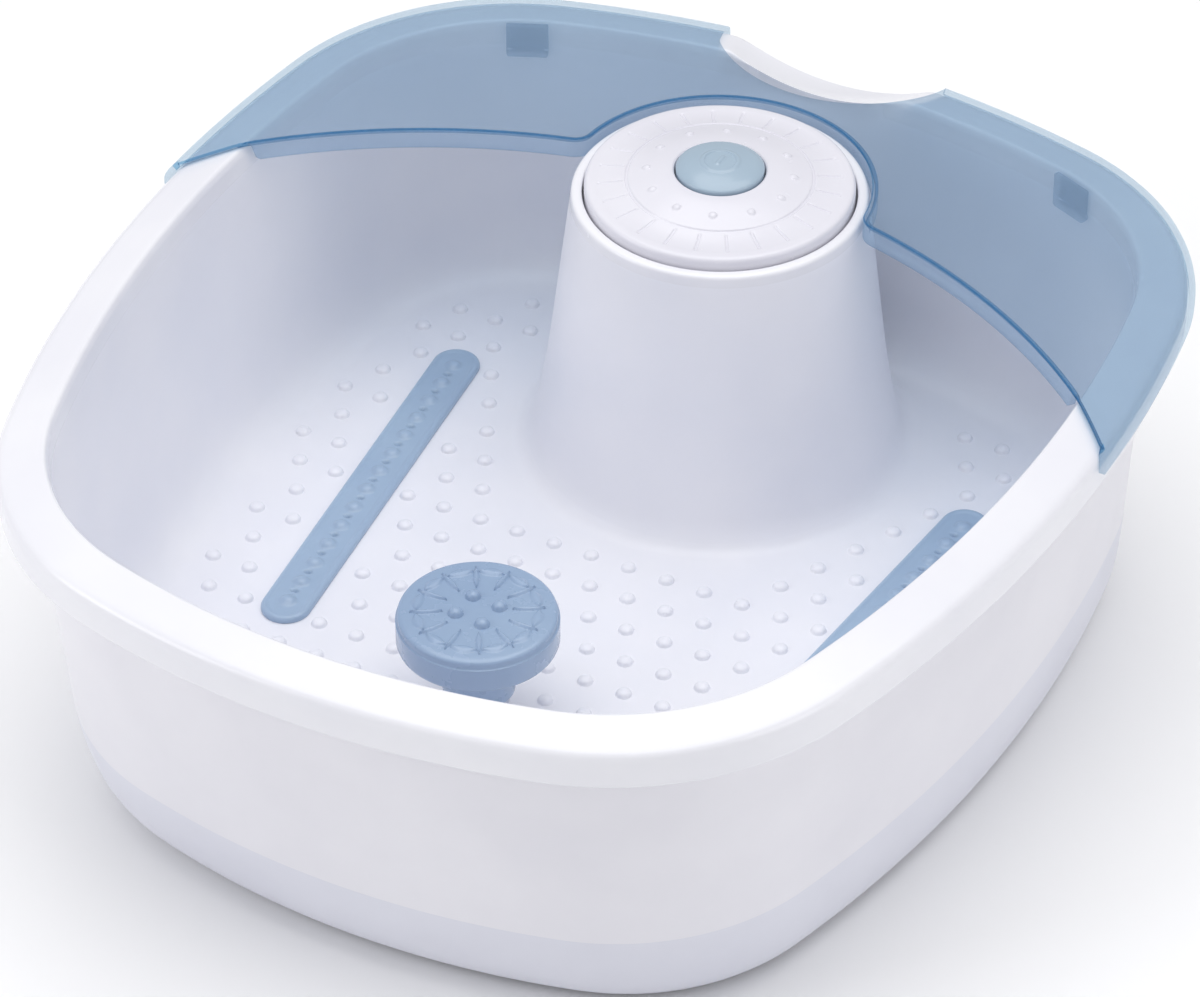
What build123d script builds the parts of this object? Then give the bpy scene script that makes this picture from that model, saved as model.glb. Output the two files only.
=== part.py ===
from build123d import *
import os
from math import atan2, cos, hypot, pi, radians, sin, sqrt

# Foot spa basin. X is to the right seen from the front, +Y is to the back, +Z is up.
# The origin is on the floor, under the middle of the rim's outline. Sizes in millimetres.

# ---------------------------------------------------------------- driving dimensions
HALF_WIDTH = 180.0          # rim's outline, half its width
HALF_DEPTH = 202.0          # rim's outline, half its depth
SIDE_RADIUS = 520.0         # bow of each side of the outline
SIDE_CENTRE_Y = 33.6        # where along the depth the outline is widest
FRONT_RADIUS = 322.0
BACK_RADIUS = 382.0
FRONT_CORNER = 104.0
BACK_CORNER = 96.5

RIM_TOP = 144.5             # highest line of the rim
RIM_WIDTH = 16.0            # from the outermost edge to the rim's highest line
BAND_BOTTOM = 127.9         # lower edge of the rim's turned-down band
BAND_THICK = 2.3
WALL = 2.5                  # moulding thickness of tub
CASING_WALL = 2.2
FLOOR_TOP = 34.0
FLOOR_UNDER = 31.0
PLATE_UNDER = 2.5           # base plate
PLATE_TOP = 5.0

PEDESTAL_Y = 104.0          # centre of the pedestal behind the middle
PEDESTAL_TOP = 143.5
PEDESTAL_R = 52.5           # outer radius of the lip
LIP_BORE = 49.0             # bore of the lip, around the cap
LEDGE_Z = 139.0             # where the cap's seal sits
CAP_R = 48.3
CAP_DOME = [(47.7, 146.4), (46.3, 147.4), (44.5, 147.8), (33.3, 149.1), (26.4, 150.9), (17.4, 152.6)]
CAP_SKIN = 2.4              # thickness of the domed cap

SCOOP_BALL = 82.0           # the scoop in the rear rim is part of a ball
SCOOP_Y = 219.0             # the ball's centre
SCOOP_Z = 209.8
NOTCH_R = 47.5              # the guard's skirt stops at this circle round the scoop

GUARD_GAP = 0.3             # guard over the rim
GUARD_THICK = 2.2
GUARD_ARC_R = 236.0         # inner edge of the guard
GUARD_ARC_Y = -125.0
GUARD_LIP = 8.0             # height of its turned-down inner lip
GUARD_COLLAR_R = 54.0       # cut-out around the pedestal
TAB_X = 110.0
TAB_WIDTH = 15.5
TAB_BOTTOM = 131.0

BUTTON_R = 15.8
BUTTON_EDGE = 152.9         # where the button's side turns into its dome
BUTTON_DOME = 3.7           # height of the dome above that
BUTTON_FLANGE = 135.7       # top of the flange that stops it under the cap
BOARD_Z = 112.0             # underside of the control board
BOARD_TOP = 113.6

BRACKET_Z = 58.0            # underside of the blower bracket's plate
MOTOR_R = 18.0
DRUM_R = 40.0               # blower housing
DRUM_TOP = 84.0
DUCT_Y = 56.0               # blower's down pipe
BRACKET_TURNS = (90, 210, 330)
BOSS_TURNS = (30, 150, 270)
BOSS_CIRCLE = 34.0          # cap's bosses, which hold the board

STRIP_X = 97.0              # bubble strips, which spread towards the back
STRIP_Y = 20.0
STRIP_TILT = 5.5
STRIP_LENGTH = 170.0
STRIP_WIDTH = 18.0
STRIP_TOP = 37.5
HOLE_COUNT = 13              # air holes in each strip
HOLE_PITCH = 11.4

DISC_Y = -78.0              # massage disc
DISC_R = 28.0
DISC_TOP = 83.7
DISC_UNDER = 70.5
POST_R = 8.0
POST_TOP = 77.0

VIBRATOR_Y = -122.0
VIBRATOR_Z = 17.5
VIBRATOR_R = 11.0

GLAND_Z = 21.0
GLAND_BORE = 3.6

SCREW_PLACES = [(118, -85), (138, 20), (112, 118)]      # mirrored in X
FOOT_PLACES = [(100, -112), (108, 140)]                 # mirrored in X

parts = {}


# ---------------------------------------------------------------- shared shapes
def circles_meet(first, first_r, second, second_r, prefer_back):
    """Where two circles cross, on the right, nearer the back or nearer the front."""
    gap_x = second[0] - first[0]
    gap_y = second[1] - first[1]
    gap = hypot(gap_x, gap_y)
    along = (gap ** 2 + first_r ** 2 - second_r ** 2) / (2 * gap)
    across = sqrt(first_r ** 2 - along ** 2)
    foot_x = first[0] + along * gap_x / gap
    foot_y = first[1] + along * gap_y / gap
    options = [
        (foot_x - across * gap_y / gap, foot_y + across * gap_x / gap),
        (foot_x + across * gap_y / gap, foot_y - across * gap_x / gap),
    ]
    sign = 1 if prefer_back else -1
    return max(options, key=lambda point: point[0] + sign * point[1])


def outline_arcs():
    """Arcs of the right half of the rim's outline, front to back: centre, radius, two angles."""
    side = (HALF_WIDTH - SIDE_RADIUS, SIDE_CENTRE_Y)
    front = (0.0, FRONT_RADIUS - HALF_DEPTH)
    back = (0.0, HALF_DEPTH - BACK_RADIUS)
    near = circles_meet(front, FRONT_RADIUS - FRONT_CORNER, side, SIDE_RADIUS - FRONT_CORNER, False)
    far = circles_meet(back, BACK_RADIUS - BACK_CORNER, side, SIDE_RADIUS - BACK_CORNER, True)
    turns = [
        -pi / 2,
        atan2(near[1] - front[1], near[0] - front[0]),
        atan2(near[1] - side[1], near[0] - side[0]),
        atan2(far[1] - side[1], far[0] - side[0]),
        atan2(far[1] - back[1], far[0] - back[0]),
        pi / 2,
    ]
    centres = [front, near, side, far, back]
    radii = [FRONT_RADIUS, FRONT_CORNER, SIDE_RADIUS, BACK_CORNER, BACK_RADIUS]
    return list(zip(centres, radii, turns[:-1], turns[1:]))


def ring(inset, z, shift=0.0):
    """The rim's outline as a wire, moved in by inset, at height z, moved back by shift."""
    def spot(centre, radius, angle, flip):
        x = centre[0] + (radius - inset) * cos(angle)
        y = centre[1] + (radius - inset) * sin(angle) + shift
        return (-x if flip else x, y, z)

    arcs = outline_arcs()
    edges = []
    for centre, radius, start, end in arcs[1:-1]:
        for flip in (False, True):
            middle = (start + end) / 2
            points = [spot(centre, radius, angle, flip) for angle in (start, middle, end)]
            edges.append(Edge.make_three_point_arc(*points))
    for centre, radius, start, end in (arcs[0], arcs[-1]):
        inner = end if start == -pi / 2 else start
        middle = -pi / 2 if start == -pi / 2 else pi / 2
        points = [spot(centre, radius, inner, True), spot(centre, radius, middle, False)]
        points.append(spot(centre, radius, inner, False))
        edges.append(Edge.make_three_point_arc(*points))
    return Wire(edges)


def stacked(levels):
    """Solid through a stack of outlines, each level an inset, a height and an optional shift."""
    return Solid.make_loft([ring(*level) for level in levels], ruled=True)


def disc(radius, low, high, x=0.0, y=0.0):
    return Pos(x, y, (low + high) / 2) * Cylinder(radius, high - low)


def tube(outer, inner, low, high, x=0.0, y=0.0):
    return disc(outer, low, high, x, y) - disc(inner, low - 1, high + 1, x, y)


def block(low, high):
    size = [high[i] - low[i] for i in range(3)]
    middle = [(high[i] + low[i]) / 2 for i in range(3)]
    return Pos(*middle) * Box(*size)


def turned(profile, x=0.0, y=0.0):
    """Solid of revolution about a vertical axis, from points of radius and height."""
    outline = make_face(Polyline(*[(radius, 0, z) for radius, z in profile], close=True))
    return Pos(x, y, 0) * revolve(outline, axis=Axis.Z)


def screw_up(head_r, shank_r, low, under_head, tip):
    """Screw driven from below, from the bottom of its head to its tip."""
    shank = [(shank_r, under_head), (shank_r, tip - 1), (0, tip)]
    return turned([(0, low), (head_r, low), (head_r, under_head)] + shank)


def screw_down(head_r, shank_r, top, under_head, tip):
    """Screw driven from above, from the top of its head to its tip."""
    shank = [(shank_r, under_head), (shank_r, tip), (0, tip)]
    return turned([(0, top), (head_r, top), (head_r, under_head)] + shank)


def rod(radius, start, end, y, z):
    """Cylinder along X."""
    middle = (start + end) / 2
    return Pos(middle, y, z) * Rot(0, 90, 0) * Cylinder(radius, end - start)


def both_sides(places):
    return [(sign * x, y) for x, y in places for sign in (-1, 1)]


def along_strip(side, distance):
    """Point on a bubble strip's centre line, a distance behind its middle."""
    tilt = radians(STRIP_TILT)
    return (side * (STRIP_X + distance * sin(tilt)), STRIP_Y + distance * cos(tilt))


def stadium(length, width, low, high, side):
    """Round-ended bar along a bubble strip's centre line."""
    shape = Pos(side * STRIP_X, STRIP_Y, low) * Rot(0, 0, 90 - side * STRIP_TILT) * SlotOverall(length, width)
    return extrude(shape, high - low)


# ---------------------------------------------------------------- tub
def scoop_ball(grown=0.0):
    """The ball that cuts the scoop, or a larger one around it."""
    return Pos(0, SCOOP_Y, SCOOP_Z) * Sphere(SCOOP_BALL + grown)


def make_tub():
    flange = stacked([(0, BAND_BOTTOM), (0, 137.8), (0.9, 140.2), (2.8, 141.7), (RIM_WIDTH, RIM_TOP)])
    under_flange = stacked([
        (BAND_THICK, BAND_BOTTOM - 1),
        (BAND_THICK, 137.0),
        (4.6, 139.2),
        (15.0, 142.0),
    ])
    skin = [(17.9, 142.0, 0.0), (22.4, 70.0, 2.2), (24.8, 50.0, 3.6), (29.0, 39.5, 4.4)]
    bucket = stacked([(inset - WALL, z, shift) for inset, z, shift in skin] + [(35.5, FLOOR_UNDER, 4.6)])
    water_space = stacked([(16.5, RIM_TOP + 0.5), (17.1, 143.9)] + skin + [(37.0, FLOOR_TOP, 4.6)])

    pedestal = turned([
        (0, FLOOR_UNDER), (76, FLOOR_UNDER), (76, FLOOR_TOP), (71, 36.4), (67.5, 41), (61.8, 69.5),
        (53.2, 140), (PEDESTAL_R, 142.8), (51.6, PEDESTAL_TOP), (49.6, PEDESTAL_TOP),
        (LIP_BORE, 142.9), (LIP_BORE, LEDGE_Z), (0, LEDGE_Z),
    ], y=PEDESTAL_Y)
    pedestal_hollow = turned([
        (0, 20), (63.5, 20), (63.5, 41), (59.2, 69.5), (50.9, LEDGE_Z - 2.4), (46, LEDGE_Z - 2.4),
        (46, LEDGE_Z + 1), (0, LEDGE_Z + 1),
    ], y=PEDESTAL_Y)

    inside = stacked([(skin[-1][0] - 1, 36), (17.0, RIM_TOP)])

    tub = flange - (under_flange - bucket)
    tub = tub + bucket - water_space
    tub = tub + (pedestal & (bucket + inside))
    tub = tub - pedestal_hollow - disc(LIP_BORE, LEDGE_Z, 150, y=PEDESTAL_Y)

    backing = flange & scoop_ball(WALL) & block((-60, PEDESTAL_Y + 65, 120), (60, HALF_DEPTH + 1, 142))
    tub = tub + (backing - water_space) - scoop_ball()

    post = turned([
        (0, FLOOR_UNDER + 1), (15, FLOOR_UNDER + 1), (15, FLOOR_TOP + 0.6), (12, 37), (10.5, 44),
        (POST_R, 44.0), (POST_R, POST_TOP - 1.5), (POST_R - 1.5, POST_TOP), (0, POST_TOP),
    ], y=DISC_Y)
    tub = tub + post

    for x, y in both_sides(SCREW_PLACES):
        tub = tub + disc(4.5, PLATE_TOP + 2.2, FLOOR_UNDER + 1, x, y)
        tub = tub - disc(1.65, PLATE_TOP, FLOOR_UNDER - 8, x, y)
    for side in (-1, 1):
        for step in range(6):
            tub = tub - disc(2.5, FLOOR_UNDER - 2, FLOOR_TOP + 2, *along_strip(side, (step - 2.5) * 24))
    return tub


# ---------------------------------------------------------------- outside shells
def make_casing():
    skin = [
        (28.0, PLATE_UNDER, 12.4), (25.6, 4.5, 12.4), (22.8, 9, 10.4), (20.2, 18, 7.6), (18.5, 30, 5.4),
        (17.5, 42, 4.0), (12.5, BAND_BOTTOM, 0), (12.5, 139.8, 0),
    ]
    outer = stacked(skin)
    inner_skin = [(inset + CASING_WALL, z, shift) for inset, z, shift in skin]
    inner_skin[0] = (inner_skin[0][0], PLATE_UNDER - 1, inner_skin[0][2])
    inner_skin[-1] = (inner_skin[-1][0], 141.0, 0)
    gland_hole = Pos(0, 185, GLAND_Z) * Rot(90, 0, 0) * Cylinder(6.1, 40)
    casing = outer - stacked(inner_skin) - gland_hole
    return casing - scoop_ball(WALL + 0.4)


def make_base_plate():
    plate = stacked([(30.8, PLATE_UNDER, 12.4), (28.4, PLATE_TOP, 12.4)])
    for x, y in both_sides(SCREW_PLACES):
        plate = plate + disc(6, PLATE_TOP - 0.5, PLATE_TOP + 2, x, y)
        plate = plate - disc(4.0, PLATE_UNDER - 1, PLATE_UNDER + 2.4, x, y)
        plate = plate - disc(1.9, PLATE_UNDER, PLATE_TOP + 3, x, y)
    for x, y in both_sides(FOOT_PLACES):
        plate = plate - disc(3.1, PLATE_UNDER - 1, PLATE_TOP + 1, x, y)
    for step in range(7):
        y = PEDESTAL_Y - 18 + step * 6
        plate = plate - block((-14, y - 1.2, PLATE_UNDER - 1), (14, y + 1.2, PLATE_TOP + 1))
    return plate


def make_feet():
    foot = turned([(0, 0), (9, 0), (10, 1), (10, 2.45), (3, 2.45), (3, 5.4), (0, 5.4)])
    return [Pos(x, y, 0) * foot for x, y in both_sides(FOOT_PLACES)]


def make_base_screws():
    screw = turned([(0, 3.0), (3.6, 3.0), (3.6, 4.85), (1.6, 4.85), (1.6, 18), (0, 19.5)])
    return [Pos(x, y, 0) * screw for x, y in both_sides(SCREW_PLACES)]


def make_gland():
    """Cable gland through the back of the casing, and the nut that holds it from inside."""
    def along_y(radius, start, end):
        return Pos(0, (start + end) / 2, GLAND_Z) * Rot(90, 0, 0) * Cylinder(radius, end - start)

    wall = HALF_DEPTH - 20.0 + 6.4
    body = along_y(5.9, wall - 16, wall + 2) + along_y(9, wall + 1.4, wall + 4)
    body = body + along_y(6.5, wall + 4, wall + 9)
    body = body - along_y(GLAND_BORE, wall - 20, wall + 12)
    nut_shape = extrude(RegularPolygon(10, 6), 5)
    nut = Pos(0, wall - 4.5, GLAND_Z) * Rot(90, 0, 0) * nut_shape
    return body, nut - along_y(5.95, wall - 20, wall + 2)


# ---------------------------------------------------------------- splash guard
def make_guard():
    outer = stacked([(-2.7, 136.0), (-2.7, 138.6), (-1.8, 141.6), (0.9, 144.0), (15.6, RIM_TOP + 2.5)])
    inner = stacked([(-0.4, 135.0), (-0.4, 138.1), (0.5, 140.6), (2.6, 142.1), (16.0, RIM_TOP + GUARD_GAP)])
    top = RIM_TOP + 2.5
    cover = outer - inner

    def columns(radius, y, low=130.0, high=150.0):
        return disc(radius, low, high, y=y)

    arch = columns(GUARD_ARC_R, GUARD_ARC_Y)
    collar = columns(GUARD_COLLAR_R, PEDESTAL_Y)
    opening = arch + collar + block((-300, -300, 130), (300, 0, 150))
    joins = opening.edges().filter_by(Axis.Z)
    joins = [edge for edge in joins if 50 < abs(edge.center().X) < 62 and edge.center().Y > 90]
    opening = fillet(joins, 8)
    cover = cover - opening

    lip_low = top - GUARD_LIP
    lip_arch = columns(GUARD_ARC_R + GUARD_THICK, GUARD_ARC_Y, lip_low, top - 0.5)
    lip_collar = columns(GUARD_COLLAR_R + GUARD_THICK, PEDESTAL_Y, lip_low, top - 0.5)
    lip = (lip_arch + lip_collar) - opening
    lip = lip & stacked([(19.2, 130), (19.2, 150)])

    guard = cover + lip
    guard = guard - scoop_ball(0.2) - columns(NOTCH_R, SCOOP_Y, high=RIM_TOP)

    pocket = stacked([(19.2, TAB_BOTTOM), (19.2, top - 0.5)]) - stacked([(21.4, TAB_BOTTOM - 1), (21.4, top)])
    for side in (-1, 1):
        tab_space = Pos(side * TAB_X, 166, 140) * Rot(0, 0, -side * 22) * Box(TAB_WIDTH, 30, 30)
        guard = guard + (pocket & tab_space)
    return guard


# ---------------------------------------------------------------- pedestal's fittings
def make_cap():
    low = LEDGE_Z + 1.1
    inside = [(radius - 1.6, z - CAP_SKIN) for radius, z in CAP_DOME[2:]]
    outside = [(CAP_R, low), (CAP_R, 144.6)] + CAP_DOME
    middle = [(0, inside[-1][1]), (0, CAP_DOME[-1][1])]
    cap = turned([(44, low)] + inside + middle + outside[::-1])
    cap = cap + disc(18.5, BUTTON_FLANGE + 0.3, inside[-1][1] + 0.5)
    for turn in BOSS_TURNS:
        x = BOSS_CIRCLE * cos(radians(turn))
        y = BOSS_CIRCLE * sin(radians(turn))
        cap = cap + disc(3.2, BOARD_TOP, 147.5, x, y)
        cap = cap - disc(1.25, BOARD_TOP - 1, 124, x, y)
    cap = cap - disc(BUTTON_R + 0.35, 130, 160)
    return Pos(0, PEDESTAL_Y, 0) * cap


def make_button():
    low = BUTTON_FLANGE - 2.7
    top = BUTTON_EDGE + BUTTON_DOME
    shape = turned([
        (0, 122.7), (3, 122.7), (3, low), (17.6, low), (17.6, BUTTON_FLANGE), (BUTTON_R, BUTTON_FLANGE),
        (BUTTON_R, BUTTON_EDGE), (14.8, top - 2.3), (11.5, top - 1.2), (6.5, top - 0.35), (0, top),
    ])
    ceiling = BUTTON_EDGE - 1.4
    hollow = turned([
        (4.6, low - 1), (14.0, low - 1), (14.0, ceiling), (10, ceiling + 1.5), (4.6, ceiling + 2.2),
    ])
    return Pos(0, PEDESTAL_Y, 0) * (shape - hollow)


def make_button_spring():
    """Coil from the control board up into the hollow button."""
    wire = 0.55
    low = BOARD_TOP + wire + 0.05
    high = BUTTON_EDGE - wire
    radius = 9.5
    turns = 9
    path = Helix((high - low) / turns, high - low, radius, center=(0, 0, low))
    coil = sweep(Plane(path @ 0, z_dir=path % 0) * Circle(wire), path=path)
    return Pos(0, PEDESTAL_Y, 0) * coil


def make_board():
    """Control board with its relay, capacitor and chip."""
    board = disc(41, BOARD_Z, BOARD_TOP)
    for turn in BOSS_TURNS:
        x = BOSS_CIRCLE * cos(radians(turn))
        y = BOSS_CIRCLE * sin(radians(turn))
        board = board - disc(1.6, BOARD_Z - 1, BOARD_TOP + 1, x, y)
    board = board + block((12, -26, BOARD_TOP - 0.2), (30, -12, BOARD_TOP + 13))
    board = board + disc(5, BOARD_TOP - 0.2, BOARD_TOP + 12, -22, -16)
    board = board + block((-28, 4, BOARD_TOP - 0.2), (-16, 14, BOARD_TOP + 2.4))
    return Pos(0, PEDESTAL_Y, 0) * board


def make_switch():
    switch = block((-4, -4, BOARD_TOP), (4, 4, BOARD_TOP + 4.6)) + disc(2.2, BOARD_TOP + 4, BOARD_TOP + 6.4)
    return Pos(0, PEDESTAL_Y, 0) * switch


def make_board_screws():
    screw = screw_up(2.6, 1.2, BOARD_Z - 1.8, BOARD_Z, 123)
    turns = [radians(turn) for turn in BOSS_TURNS]
    return [Pos(BOSS_CIRCLE * cos(turn), PEDESTAL_Y + BOSS_CIRCLE * sin(turn), 0) * screw for turn in turns]


# ---------------------------------------------------------------- blower
def make_bracket():
    bracket = tube(44, 7, BRACKET_Z, BRACKET_Z + 2)
    for turn in BRACKET_TURNS:
        leg = Rot(0, 0, turn) * block((34, -5, PLATE_TOP), (42, 5, BRACKET_Z + 1))
        foot = Rot(0, 0, turn) * block((34, -5, PLATE_TOP), (54, 5, PLATE_TOP + 2.4))
        bracket = bracket + leg + foot
        spot = (48 * cos(radians(turn)), 48 * sin(radians(turn)))
        bracket = bracket - disc(1.7, PLATE_TOP - 1, PLATE_TOP + 4, *spot)
    for side in (-1, 1):
        bracket = bracket - disc(1.6, BRACKET_Z - 1, BRACKET_Z + 3, side * 12)
    bracket = bracket - disc(7.2, BRACKET_Z - 1, BRACKET_Z + 3, 0, DUCT_Y - PEDESTAL_Y)
    return Pos(0, PEDESTAL_Y, 0) * bracket


def make_bracket_screws():
    screw = turned([(0, 5.2), (1.5, 5.2), (1.5, 7.5), (2.9, 7.5), (2.9, 9.2), (0, 9.2)])
    turns = [radians(turn) for turn in BRACKET_TURNS]
    return [Pos(48 * cos(turn), PEDESTAL_Y + 48 * sin(turn), 0) * screw for turn in turns]


def make_blower_motor():
    motor = turned([(0, 26), (MOTOR_R - 1.5, 26), (MOTOR_R, 27.5), (MOTOR_R, BRACKET_Z), (6, BRACKET_Z),
                    (6, BRACKET_Z + 2), (0, BRACKET_Z + 2)])
    motor = motor - disc(1.55, 45, BRACKET_Z + 3)
    for side in (-1, 1):
        motor = motor - disc(1.3, BRACKET_Z - 6, BRACKET_Z + 1, side * 12)
        motor = motor + block((side * 6 - 1.5, -1, 20), (side * 6 + 1.5, 1, 26.5))
    return Pos(0, PEDESTAL_Y, 0) * motor


def make_motor_screws():
    low = BRACKET_Z + 2
    screw = screw_down(2.5, 1.25, low + 1.2, low, low - 6.5)
    return [Pos(side * 12, PEDESTAL_Y, 0) * screw for side in (-1, 1)]


def make_blower_housing():
    """Drum around the impeller, open at the top, with an outlet over the down pipe."""
    low = BRACKET_Z + 3.6
    duct = DUCT_Y - PEDESTAL_Y
    drum = disc(DRUM_R, low, DRUM_TOP) + disc(8.5, low, DRUM_TOP, 0, duct)
    drum = drum + block((-8.5, duct, low), (8.5, 0, DRUM_TOP))
    inside = disc(DRUM_R - 1.8, low + 1.8, DRUM_TOP - 1.8) + disc(6.7, low - 1, DRUM_TOP - 1.8, 0, duct)
    inside = inside + block((-6.7, duct, low + 1.8), (6.7, -25, DRUM_TOP - 1.8))
    drum = drum - inside - disc(16, DRUM_TOP - 3, DRUM_TOP + 1) - disc(5, low - 1, low + 3)
    for turn in BRACKET_TURNS:
        drum = drum + Rot(0, 0, turn) * block((30, -4, BRACKET_Z + 2.02), (38, 4, low + 0.5))
    return Pos(0, PEDESTAL_Y, 0) * drum


def make_impeller():
    low = BRACKET_Z + 8.0
    wheel = disc(34, low, low + 1.4) + disc(6, low - 1.5, low + 12)
    for step in range(12):
        blade = Rot(0, 0, step * 30) * Pos(24, 0, low + 6.5) * Rot(0, 0, 28) * Box(18, 1.2, 11)
        wheel = wheel + blade
    return Pos(0, PEDESTAL_Y, 0) * (wheel - disc(1.5, low - 3, low + 13))


def make_duct():
    """Down pipe from the blower, with a branch along X to each air channel."""
    pipe_z = 15.0
    reach = along_strip(1, DUCT_Y - STRIP_Y)[0]

    def pipes(radius, top, end_top):
        solid = disc(radius, pipe_z, top, 0, DUCT_Y) + rod(radius, -reach, reach, DUCT_Y, pipe_z)
        for side in (-1, 1):
            solid = solid + disc(radius, pipe_z, end_top, side * reach, DUCT_Y)
            solid = solid + Pos(side * reach, DUCT_Y, pipe_z) * Sphere(radius)
        return solid

    return pipes(6, BRACKET_Z + 5.4, 21.5) - pipes(4.6, BRACKET_Z + 7, 23)


def make_channel(side):
    """Trough under the tub floor that feeds one bubble strip."""
    trough = stadium(STRIP_LENGTH - 6, 17, 21.5, FLOOR_UNDER - 0.05, side)
    trough = trough - stadium(STRIP_LENGTH - 10, 13, 23.3, FLOOR_UNDER + 1, side)
    return trough - disc(4.6, 20, 25, *along_strip(side, DUCT_Y - STRIP_Y))


def make_gasket(side):
    gasket = stadium(STRIP_LENGTH - 4, STRIP_WIDTH - 4, FLOOR_TOP, FLOOR_TOP + 0.6, side)
    return gasket - stadium(STRIP_LENGTH - 10, STRIP_WIDTH - 10, FLOOR_TOP - 1, FLOOR_TOP + 2, side)


def make_strip(side):
    strip = stadium(STRIP_LENGTH, STRIP_WIDTH, FLOOR_TOP + 0.05, STRIP_TOP, side)
    strip = chamfer(strip.faces().sort_by(Axis.Z)[-1].edges(), 0.9)
    strip = strip - stadium(STRIP_LENGTH - 3.6, STRIP_WIDTH - 3.6, FLOOR_TOP - 1, FLOOR_TOP + 0.65, side)
    strip = strip - stadium(STRIP_LENGTH - 10, STRIP_WIDTH - 10, FLOOR_TOP - 1, STRIP_TOP - 1.2, side)
    for step in range(HOLE_COUNT):
        distance = (step - (HOLE_COUNT - 1) / 2) * HOLE_PITCH
        strip = strip - disc(0.9, FLOOR_TOP, STRIP_TOP + 1, *along_strip(side, distance))
    return strip


# ---------------------------------------------------------------- heater and vibrator
def make_heater_plate():
    plate = block((-70, -52, FLOOR_UNDER - 1.6), (70, 36, FLOOR_UNDER - 0.05))
    return fillet(plate.edges().filter_by(Axis.Z), 8)


def make_element():
    """U-shaped heating rod under the heater plate."""
    z = FLOOR_UNDER - 1.6 - 3.05
    bend = 24.0
    y = -8.0
    legs = rod(3, -20, 55, y - bend, z) + rod(3, -20, 55, y + bend, z)
    half = Pos(-20, y, z) * Torus(bend, 3)
    half = half & block((-20 - bend - 5, y - bend - 5, z - 5), (-20, y + bend + 5, z + 5))
    return legs + half


def make_thermostat():
    return disc(8, 22.4, FLOOR_UNDER - 1.65, 40, -8) + disc(10, FLOOR_UNDER - 3.2, FLOOR_UNDER - 1.65, 40, -8)


def make_vibration_motor():
    motor = rod(VIBRATOR_R, -20, 18, VIBRATOR_Y, VIBRATOR_Z) + rod(4, 18, 21, VIBRATOR_Y, VIBRATOR_Z)
    return motor - rod(1.05, 6, 22, VIBRATOR_Y, VIBRATOR_Z)


def make_clamp():
    """Saddle that holds the vibration motor down on the base plate."""
    saddle = block((-12, VIBRATOR_Y - 22, PLATE_TOP), (12, VIBRATOR_Y + 22, PLATE_TOP + 4))
    saddle = saddle + rod(VIBRATOR_R + 1.8, -12, 12, VIBRATOR_Y, VIBRATOR_Z)
    saddle = saddle & block((-12, VIBRATOR_Y - 22, PLATE_TOP), (12, VIBRATOR_Y + 22, 40))
    saddle = saddle - rod(VIBRATOR_R + 0.02, -13, 13, VIBRATOR_Y, VIBRATOR_Z)
    for side in (-1, 1):
        saddle = saddle - disc(1.7, PLATE_TOP - 1, PLATE_TOP + 5, 0, VIBRATOR_Y + side * 18)
    return saddle


def make_clamp_screws():
    low = PLATE_TOP + 4
    screw = screw_down(3, 1.5, low + 1.8, low, PLATE_TOP + 0.2)
    return [Pos(0, VIBRATOR_Y + side * 18, 0) * screw for side in (-1, 1)]


def make_weight():
    half = rod(9, 24, 33, VIBRATOR_Y, VIBRATOR_Z) & block((20, -200, VIBRATOR_Z - 10), (40, 0, VIBRATOR_Z))
    hub = rod(3.4, 24, 33, VIBRATOR_Y, VIBRATOR_Z)
    return half + hub - rod(1.0, 20, 40, VIBRATOR_Y, VIBRATOR_Z)


# ---------------------------------------------------------------- massage disc
def make_disc():
    shape = turned([
        (0, DISC_TOP), (DISC_R - 5, DISC_TOP), (DISC_R - 1.6, DISC_TOP - 1.4), (DISC_R, DISC_TOP - 4),
        (DISC_R, DISC_UNDER + 1.2), (DISC_R - 1.2, DISC_UNDER), (15, DISC_UNDER), (12.5, 50), (0, 50),
    ])
    shape = shape - disc(POST_R + 0.3, 40, POST_TOP + 0.6)
    return Pos(0, DISC_Y, 0) * shape


# ---------------------------------------------------------------- all the pieces
def make_all():
    gland, gland_nut = make_gland()
    parts.update({
        "tub": make_tub(),
        "outer_casing": make_casing(),
        "base_plate": make_base_plate(),
        "rubber_feet": make_feet(),
        "base_screws": make_base_screws(),
        "cable_gland": gland,
        "gland_nut": gland_nut,
        "terminal_block": block((-92, 128, PLATE_TOP), (-64, 142, PLATE_TOP + 12)),
        "splash_guard": make_guard(),
        "pedestal_cap": make_cap(),
        "cap_seal": tube(48.7, 46.4, LEDGE_Z, LEDGE_Z + 1.1, y=PEDESTAL_Y),
        "power_button": make_button(),
        "button_spring": make_button_spring(),
        "control_board": make_board(),
        "button_switch": make_switch(),
        "board_screws": make_board_screws(),
        "blower_bracket": make_bracket(),
        "bracket_screws": make_bracket_screws(),
        "blower_motor": make_blower_motor(),
        "motor_screws": make_motor_screws(),
        "blower_shaft": disc(1.5, 46, BRACKET_Z + 20, y=PEDESTAL_Y),
        "impeller": make_impeller(),
        "blower_housing": make_blower_housing(),
        "air_manifold": make_duct(),
        "heater_plate": make_heater_plate(),
        "heating_element": make_element(),
        "thermostat": make_thermostat(),
        "vibration_motor": make_vibration_motor(),
        "motor_clamp": make_clamp(),
        "clamp_screws": make_clamp_screws(),
        "vibration_shaft": rod(1.0, 7, 33.5, VIBRATOR_Y, VIBRATOR_Z),
        "eccentric_weight": make_weight(),
        "massage_disc": make_disc(),
    })
    for side, name in ((-1, "left"), (1, "right")):
        parts["air_channel_" + name] = make_channel(side)
        parts["strip_gasket_" + name] = make_gasket(side)
        parts["bubble_strip_" + name] = make_strip(side)


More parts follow.
